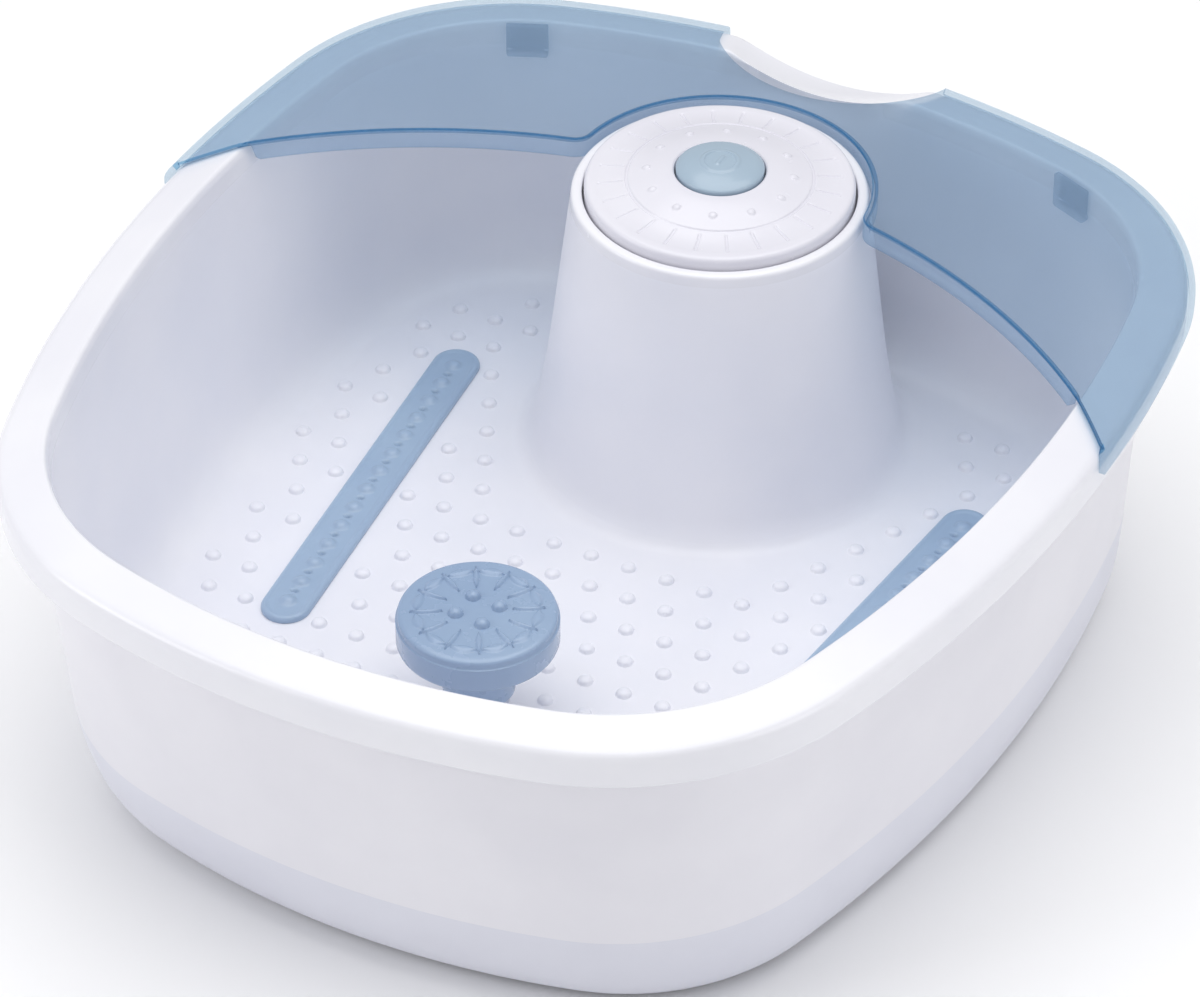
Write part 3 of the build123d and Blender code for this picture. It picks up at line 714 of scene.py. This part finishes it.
def guard_inner_line(back_off):
    """Right half of the guard's inner edge, from the rim along the arch, the fillet and the collar."""
    arch = GUARD_ARC_R + back_off
    collar = GUARD_COLLAR_R + back_off
    fillet = GUARD_FILLET - back_off
    span = PEDESTAL_Y - GUARD_ARC_Y
    far = GUARD_ARC_R + GUARD_FILLET
    near = GUARD_COLLAR_R + GUARD_FILLET
    along = (far ** 2 + span ** 2 - near ** 2) / (2 * span)
    centre = np.array([math.sqrt(far ** 2 - along ** 2), GUARD_ARC_Y + along])
    from_arch = math.atan2(GUARD_ARC_Y - centre[1], -centre[0])
    from_collar = math.atan2(PEDESTAL_Y - centre[1], -centre[0])
    start = math.atan2(centre[1] - GUARD_ARC_Y, centre[0])
    end = math.atan2(centre[1] - PEDESTAL_Y, centre[0])
    points = []
    rim_end = guard_end_angle()
    for angle in np.linspace(rim_end, start, 90, endpoint=False):
        points.append((arch * math.cos(angle), GUARD_ARC_Y + arch * math.sin(angle)))
    if from_collar < 0:
        from_collar += 2 * math.pi
    if from_arch < 0:
        from_arch += 2 * math.pi
    for angle in np.linspace(from_arch, from_collar, 14, endpoint=False):
        points.append((centre[0] + fillet * math.cos(angle), centre[1] + fillet * math.sin(angle)))
    for angle in np.linspace(end, math.pi / 2, 60):
        points.append((collar * math.cos(angle), PEDESTAL_Y + collar * math.sin(angle)))
    return np.array(points)


def guard_end_angle():
    """The direction, about the arch's centre, of the front end of the guard's shoulder."""
    points, share = arch_crossing(GUARD_SHOULDER_INSET)
    end = points[0] + (points[1] - points[0]) * share
    return math.atan2(end[1] - GUARD_ARC_Y, end[0])


def guard_height(x, y):
    """Height of the guard's top skin."""
    return np.interp(inset_of(x, y), [GUARD_SHOULDER_INSET, 15.6], [GUARD_SHOULDER, GUARD_TOP])


def mirrored(line):
    """A line on the right, and its mirror image run the other way, as one line."""
    line = np.asarray(line)
    flip = line[::-1].copy()
    flip[:, 0] *= -1
    if abs(line[-1][0]) < 1e-6:
        flip = flip[1:]
    return np.vstack([line, flip])


def make_guard():
    """The guard as a thin skin: its top from a triangulated outline, its skirt and its lip from rows."""
    ease = GUARD_EASE
    outer_count = 150
    outer = guard_stretch(GUARD_SHOULDER_INSET, GUARD_SHOULDER, outer_count)
    notch = guard_notch(math.atan2(outer[-1][1] - SCOOP_Y, outer[-1][0]))
    back = mirrored(np.vstack([outer, notch]))
    front = mirrored(guard_inner_line(ease))

    loop = np.vstack([back, front[::-1]])
    fill = []
    for inset in (2.2, 4.5, 7.5, 10.5, 13.5, 15.2, 16.4, 18.5, 22):
        points = outline(inset)[::3]
        fill.append(points)
    for off in (ease + 1.2, ease + 3.0):
        fill.append(mirrored(guard_inner_line(off))[::2])
    fill = np.vstack(fill)
    clear = 0.7
    keep = np.hypot(fill[:, 0], fill[:, 1] - GUARD_ARC_Y) > GUARD_ARC_R + ease + clear
    keep &= np.hypot(fill[:, 0], fill[:, 1] - PEDESTAL_Y) > GUARD_COLLAR_R + ease + clear
    keep &= np.hypot(fill[:, 0], fill[:, 1] - SCOOP_Y) > scoop_reach(GUARD_TOP) + clear
    keep &= fill[:, 1] > 0
    keep &= inset_of(fill[:, 0], fill[:, 1]) > GUARD_SHOULDER_INSET + clear
    corner = np.array([GUARD_COLLAR_R, PEDESTAL_Y])
    keep &= np.hypot(np.abs(fill[:, 0]) - corner[0], fill[:, 1] - corner[1]) > 13
    fill = fill[keep]

    flat = np.vstack([loop, fill])
    edges = [(i, (i + 1) % len(loop)) for i in range(len(loop))]
    made = delaunay_2d_cdt([Vector(point) for point in flat.tolist()], edges, [], 1, 1e-4)
    spots = np.array([tuple(point) for point in made[0]])
    triangles = [list(face) for face in made[2]]
    top = np.column_stack([spots, guard_height(spots[:, 0], spots[:, 1])])

    shape = Shape()
    shape.add(top, triangles)
    for side in (1, -1):
        rows = []
        levels = [(-2.7, 136.0), (-2.7, 137.4), (-2.7, 138.8), (-2.35, 140.3), (-1.6, 141.8), (-0.5, 143.0)]
        levels.append((GUARD_SHOULDER_INSET, GUARD_SHOULDER))
        for inset, z in levels:
            line = guard_stretch(inset, z, outer_count)
            row = np.column_stack([line[:, 0] * side, line[:, 1], np.full(outer_count, z)])
            rows.append(row[::side])
        shape.add_rows(rows, close_columns=False)

    rows = []
    drop_low = guard_lip_bottom()
    levels = [(ease, 0.0), (0.28, 0.08), (0.1, 0.25), (0.0, 0.55), (0.0, 2.0), (0.0, 5.0), (0.0, GUARD_LIP)]
    for off, drop in levels:
        line = mirrored(guard_inner_line(off))
        height = guard_height(line[:, 0], line[:, 1])
        rows.append(np.column_stack([line, height - np.minimum(drop, drop_low)]))
    shape.add_rows(rows[::-1], close_columns=False)

    piece = shape.build("splash_guard_shell", GUARD, 60)
    weld(piece)
    piece.data.materials.append(GUARD_EDGE)
    piece.data.materials.append(GUARD_LIP_SIDE)
    line = mirrored(guard_inner_line(0.0))
    for face in piece.data.polygons:
        x, y, _ = face.center / MM
        if abs(face.normal.z) < 0.95 and np.hypot(*(line - (x, y)).T).min() < 1.5:
            face.material_index = 1 if abs(face.normal.z) > 0.12 else 2
    thick = piece.modifiers.new("wall", "SOLIDIFY")
    thick.thickness = GUARD_THICK * MM
    thick.offset = -1
    thick.use_even_offset = False
    thick.use_quality_normals = True
    finish_piece(piece, "guard", "clear_blue", "splash_guard")
    make_guard_tabs()


def guard_lip_bottom():
    """How far down the lip reaches at each point: only where it is clear of the rim."""
    line = mirrored(guard_inner_line(0.0))
    inside = inset_of(line[:, 0], line[:, 1])
    return 0.4 + (GUARD_LIP - 0.4) * smoothstep(19.2, 21.5, inside)


def weld(piece):
    """Joins the sheets of a piece along their shared edges, and faces them all outward."""
    work = bmesh.new()
    work.from_mesh(piece.data)
    bmesh.ops.remove_doubles(work, verts=work.verts, dist=0.02 * MM)
    bmesh.ops.recalc_face_normals(work, faces=work.faces)
    highest = max(work.faces, key=lambda face: face.calc_center_median().z)
    if highest.normal.z < 0:
        bmesh.ops.reverse_faces(work, faces=work.faces)
    work.to_mesh(piece.data)
    work.free()


def make_guard_tabs():
    """Two clips that hang from the guard, just inside the rim."""
    low, high, width = 131.0, GUARD_TOP - GUARD_THICK - 0.05, 15.5
    for side, name in ((-1, "left"), (1, "right")):
        line = half_outline(20.3)
        place = int(np.argmin(np.abs(line[:, 0] - 110.0) + (line[:, 1] < 100) * 500))
        here = line[place]
        way = line[place + 1] - line[place - 1]
        way = way / np.linalg.norm(way)
        out = np.array([way[1], -way[0]])
        section = rounded([
            (0.0, high, 0), (1.1, high, 0.3), (1.1, low + 3.0, 1.0), (2.0, low + 2.0, 0.5),
            (1.3, low, 0.8), (0.0, low, 0.3), (-1.1, low, 0.6), (-1.1, high, 0.3), (0.0, high, 0),
        ])
        rows = []
        for across in np.linspace(-width / 2, width / 2, 22):
            ease = max(0.0, abs(across) - width / 2 + 1.2)
            rise = 1.2 - math.sqrt(max(1.2 ** 2 - ease ** 2, 0))
            row = []
            for off, z in section[:-1]:
                spot = here + way * across + out * off
                row.append((side * spot[0], spot[1], max(z, low + rise)))
            rows.append(row if side > 0 else row[::-1])
        shape = Shape()
        shape.add_rows(rows)
        shape.close_ends(len(rows[0]))
        piece = shape.build("guard_clip_" + name, GUARD, 40)
        finish_piece(piece, "guard", "clear_blue")


# ---------------------------------------------------------------- round pieces with relief
def relief(name, profile, centre_y, segments, material, height, sharp=40):
    """A turned piece raised by height(radius, angle). Its profile is radius, height and a share of that."""
    angles = np.linspace(0, 2 * math.pi, segments, endpoint=False)
    rows = []
    for radius, z, share in profile:
        rise = share * height(np.full(segments, radius), angles) if share else 0.0
        x = radius * np.cos(angles)
        y = centre_y + radius * np.sin(angles)
        rows.append(np.column_stack([x, y, z + rise + np.zeros(segments)]))
    shape = Shape()
    shape.add_rows(rows, close_rows=profile[0][0] > 1)
    return shape.build(name, material, sharp)


def bump_at(distance, radius, height):
    """A smooth dome of that radius and height, from the distance to its middle."""
    t = np.clip(distance / radius, 0, 1)
    return height * np.sqrt(np.maximum(1 - t ** 2, 0)) * (1 - smoothstep(0.75, 1.0, t) * 0.3)


def folded(angle, step):
    """Angle from the nearest multiple of step, in radians."""
    return (angle + step / 2) % step - step / 2


def cap_relief(radius, angle):
    """Fine radial lines near the edge, a groove, and a circle of raised dots round the button."""
    across = np.abs(folded(angle, math.radians(15))) * radius
    ends = smoothstep(34.4, 35.2, radius) * (1 - smoothstep(43.0, 43.8, radius))
    lines = -0.45 * (1 - smoothstep(0.25, 0.75, across)) * ends
    groove = -0.5 * (1 - smoothstep(0.25, 0.8, np.abs(radius - 33.3)))
    dot_angle = folded(angle + math.radians(9), math.radians(30))
    off = np.sqrt((radius - 26.4) ** 2 + (radius * dot_angle) ** 2)
    return lines + groove + bump_at(off, 1.5, 0.8)


def make_cap():
    """The pedestal's lid, open in the middle for the button."""
    section = [(44.0, 145.0, 0), (44.0, 140.1, 0), (CAP_R, 140.1, 0), (CAP_R, 143.0, 0)]
    edge = rounded([(CAP_R, 143.0, 0), (CAP_R, 147.5, 3.4), (44.5, 147.8, 0)], 10)
    section += [(radius, z, 0) for radius, z in edge[1:-1]]
    dome_r = [spot[0] for spot in CAP_DOME]
    dome_z = [spot[1] for spot in CAP_DOME]
    curve = np.polyfit(dome_r, dome_z, 3)
    for radius in np.linspace(44.5, 17.6, 78):
        section.append((radius, np.polyval(curve, radius), 1))
    low = np.polyval(curve, 17.0)
    section += [(17.0, low, 0), (16.5, low - 0.3, 0), (16.2, low - 1.0, 0), (16.15, 136.0, 0)]
    section += [(18.5, 136.0, 0), (18.5, low - 2.4, 0), (26.4, 148.4, 0), (33.3, 146.6, 0)]
    piece = relief("pedestal_cap_top", section, PEDESTAL_Y, 720, CAP, cap_relief, 30)
    finish_piece(piece, "base", "white_cap", "pedestal_cap")


def button_relief(radius, angle):
    """A plain ring with a short bar in its middle, raised a little."""
    y = radius * np.sin(angle)
    ring = 1 - smoothstep(0.5, 0.95, np.abs(radius - 6.4))
    bar = 1 - smoothstep(0.5, 0.95, np.hypot(radius * np.cos(angle), y - np.clip(y, -2.2, 2.2)))
    return 0.35 * np.maximum(ring, bar)


def make_button():
    """The domed button with its hollow underside and flange."""
    top = BUTTON_TOP
    section = [(AXIS, 152.0, 0), (4.6, 152.0, 0), (10, 151.4, 0), (14.0, 150.2, 0), (14.0, 133.0, 0)]
    section += [(17.6, 133.0, 0), (17.6, 135.7, 0), (BUTTON_R, 135.7, 0), (BUTTON_R, BUTTON_EDGE - 0.6, 0)]
    dome = rounded([
        (BUTTON_R, BUTTON_EDGE - 0.6, 0),
        (BUTTON_R, BUTTON_EDGE + 0.6, 1.0),
        (13.6, top - 1.9, 1.4),
        (7.0, top - 0.5, 4.0),
        (AXIS, top - 0.3, 0),
    ], 8)
    for radius, z in divided(dome, 0.35)[1:]:
        section.append((radius, z, 1 if radius < 9 else 0))
    piece = relief("power_button_dome", section, PEDESTAL_Y, 240, BUTTON, button_relief)
    finish_piece(piece, "button", "button_blue", "power_button")


def lens(along, across, half_length, half_width, height):
    """A smooth ridge shaped like a lens: pointed at both ends, widest and highest in the middle."""
    width = np.maximum(half_width * (1 - (along / half_length) ** 2), 1e-3)
    inside = np.abs(along) < half_length
    return np.where(inside, height * np.maximum(1 - (across / width) ** 2, 0), 0)


def disc_relief(radius, angle):
    """Four rounded nubs in the middle, narrow ridges outside them, and a leaf between each two ridges."""
    x = radius * np.cos(angle)
    y = radius * np.sin(angle)
    rise = np.zeros_like(radius)
    for turn in np.radians([40, 130, 220, 310]):
        off = np.hypot(x - 7.6 * math.cos(turn), y - 7.6 * math.sin(turn))
        rise = np.maximum(rise, bump_at(off, 2.7, 2.4))
    step = 2 * math.pi / 12
    ridges = lens(radius - 17.4, folded(angle, step) * radius, 5.6, 1.15, 0.95)
    leaves = lens(folded(angle + step / 2, step) * radius, radius - 20.9, 4.6, 2.1, 0.8)
    return np.maximum.reduce([rise, ridges, leaves])


def make_disc():
    """The massage disc with its hub, which is open below for the post."""
    top = DISC_TOP - 0.3
    section = [(POST_R + 0.3, 50.0, 0), (12.5, 50.0, 0), (12.9, 53.0, 0), (14.6, 68.0, 0)]
    section += [(16.0, DISC_UNDER, 0), (DISC_R - 1.2, DISC_UNDER, 0)]
    section += [(DISC_R - 0.3, DISC_UNDER + 0.5, 0), (DISC_R, DISC_UNDER + 1.4, 0)]
    edge = rounded([
        (DISC_R, DISC_UNDER + 1.4, 0),
        (DISC_R, top - 3.4, 0),
        (DISC_R - 0.6, top - 3.0, 0.4),
        (DISC_R - 0.6, top - 0.2, 2.6),
        (23.2, top, 1.2),
        (AXIS, top, 0),
    ], 7)
    rim = [spot for spot in edge if spot[0] > 23.0]
    for radius, z in rim[1:]:
        section.append((radius, z, 0))
    for radius in np.arange(22.9, 0.3, -0.3):
        section.append((radius, top, 1))
    section.append((AXIS, top, 1))
    hole = [(AXIS, POST_TOP + 0.6, 0), (POST_R + 0.3, POST_TOP + 0.6, 0)]
    piece = relief("massage_disc_top", hole + section, DISC_Y, 420, DISC, disc_relief, 45)
    finish_piece(piece, "disc", "disc_blue", "massage_disc")


# ---------------------------------------------------------------- bubble strips
def make_strip(side, name):
    """A round-ended bar with a row of domes along it and an air hole between each two."""
    half_length = STRIP_LENGTH / 2
    half_width = STRIP_WIDTH / 2
    reach = half_length - half_width
    angles = np.linspace(0, math.pi / 2, 14)
    ends = reach + half_width * np.sin(angles)
    ends[-1] -= 0.02
    stations = np.concatenate([-ends[::-1], np.arange(-reach + 0.6, reach - 0.3, 0.6), ends])
    shares = np.sin(np.linspace(-math.pi / 2, math.pi / 2, 37))
    bottom = FLOOR_TOP + 0.1
    rows = []
    for along in stations:
        beyond = max(abs(along) - reach, 0)
        width = math.sqrt(max(half_width ** 2 - beyond ** 2, 0.01))
        row = []
        for share in shares:
            across = share * width
            edge = half_width - math.hypot(across, beyond)
            z = strip_height(along, across, edge)
            row.append((*strip_place(side, along, across), z))
        row.append((*strip_place(side, along, width), bottom))
        row.append((*strip_place(side, along, -width), bottom))
        rows.append(row if side > 0 else row[::-1])
    shape = Shape()
    shape.add_rows(rows)
    shape.close_ends(len(rows[0]))
    piece = shape.build("bubble_strip_" + name + "_top", STRIP, 55)
    finish_piece(piece, "base", "strip_blue", "bubble_strip_" + name)


def strip_height(along, across, edge):
    """Height of a strip's top at a place on it, from how far that is inside the strip's edge."""
    top = STRIP_TOP - 1.2
    rounding = 1.5
    height = top
    if edge < rounding:
        height = top - rounding + math.sqrt(max(rounding ** 2 - (rounding - edge) ** 2, 0))
    inner = 0.35 * (1 - float(smoothstep(1.9, 2.5, np.float64(edge)))) if edge > rounding else 0.35
    height += inner - 0.35
    first = -(HOLE_COUNT - 1) / 2 * HOLE_PITCH
    to_hole = (along - first + HOLE_PITCH / 2) % HOLE_PITCH - HOLE_PITCH / 2
    to_dome = (along - first) % HOLE_PITCH - HOLE_PITCH / 2
    if abs(along) < -first + HOLE_PITCH * 0.9:
        height += float(bump_at(np.float64(math.hypot(to_dome, across)), 2.8, 1.5))
    if abs(along) < -first + 1:
        height -= 2.0 * (1 - float(smoothstep(0.5, 1.15, np.float64(math.hypot(to_hole, across)))))
    return height


# ---------------------------------------------------------------- carried-over CAD parts
def dress_cad():
    """Gives each carried-over CAD node the finish of its slot."""
    finishes = {
        "grey_base": GREY_BASE, "ivory_plastic": IVORY, "duct_grey": DUCT, "black_plastic": BLACK,
        "board_green": BOARD, "foot_rubber": RUBBER, "seal_rubber": SEAL, "steel": STEEL,
        "motor_steel": MOTOR, "aluminium": ALUMINIUM, "brass": BRASS, "white_tub": WHITE,
        "white_casing": CASING, "white_cap": CAP, "clear_blue": GUARD, "button_blue": BUTTON,
        "disc_blue": DISC, "strip_blue": STRIP,
    }
    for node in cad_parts.values():
        for index, held in enumerate(node.material_slots):
            name = held.material.name.split(".")[0] if held.material else ""
            node.material_slots[index].material = finishes.get(name, IVORY)


# ---------------------------------------------------------------- camera, light and floor
def aim(thing, place, target):
    """Puts a camera or light at a place, looking at the target."""
    thing.location = place
    thing.rotation_mode = "QUATERNION"
    thing.rotation_quaternion = (Vector(target) - Vector(place)).to_track_quat("-Z", "Y")


def make_camera():
    data = bpy.data.cameras.new("camera")
    data.sensor_width = 36.0
    data.lens = 161.1
    data.clip_end = 50
    camera = bpy.data.objects.new("camera", data)
    bpy.context.scene.collection.objects.link(camera)
    target = Vector((0.01394, -0.015, 0.0925))
    azimuth, elevation, distance = math.radians(27.47), math.radians(38.455), 1.85
    back = Vector((
        math.sin(azimuth) * math.cos(elevation),
        -math.cos(azimuth) * math.cos(elevation),
        math.sin(elevation),
    ))
    aim(camera, target + back * distance, target)
    bpy.context.scene.camera = camera


def area_light(name, place, size, power, colour=(1, 1, 1)):
    data = bpy.data.lights.new(name, "AREA")
    data.shape = "RECTANGLE"
    data.size, data.size_y = size
    data.energy = power
    data.color = colour
    light = bpy.data.objects.new(name, data)
    bpy.context.scene.collection.objects.link(light)
    aim(light, place, (0, 0, 0.08))


def make_lights():
    world = bpy.data.worlds.new("studio")
    bpy.context.scene.world = world
    world.use_nodes = True
    background = world.node_tree.nodes["Background"]
    background.inputs["Color"].default_value = (0.975, 0.98, 1.0, 1)
    background.inputs["Strength"].default_value = 0.46
    area_light("top", (0.0, 0.15, 2.0), (2.2, 2.2), 28)
    area_light("side_right", (1.7, -0.1, 0.8), (1.0, 0.9), 5)
    area_light("front_left", (-1.3, -1.2, 0.9), (1.0, 0.9), 8.5)
    bpy.context.scene.view_settings.view_transform = "Standard"


def make_floor():
    nodes = Nodes("studio_floor")
    tone = nodes.ramp(nodes.noise(2, 2), [(0.3, (0.955, 0.955, 0.96, 1)), (0.7, (0.975, 0.975, 0.98, 1))])
    nodes.link(tone, nodes.shader.inputs["Base Color"])
    nodes.shader.inputs["Roughness"].default_value = 0.9
    nodes.shader.inputs["Specular IOR Level"].default_value = 0.1
    half = 6000
    corners = [(-half, -half, 0), (half, -half, 0), (half, half, 0), (-half, half, 0)]
    floor = make_mesh("studio_floor", corners, [(0, 1, 2, 3)], nodes.material)


make_camera()
make_lights()
make_floor()
dress_cad()
make_tub()
make_floor_nubs()
make_casing()
make_guard()
make_cap()
make_button()
make_disc()
make_strip(-1, "left")
make_strip(1, "right")

bpy.context.view_layer.update()
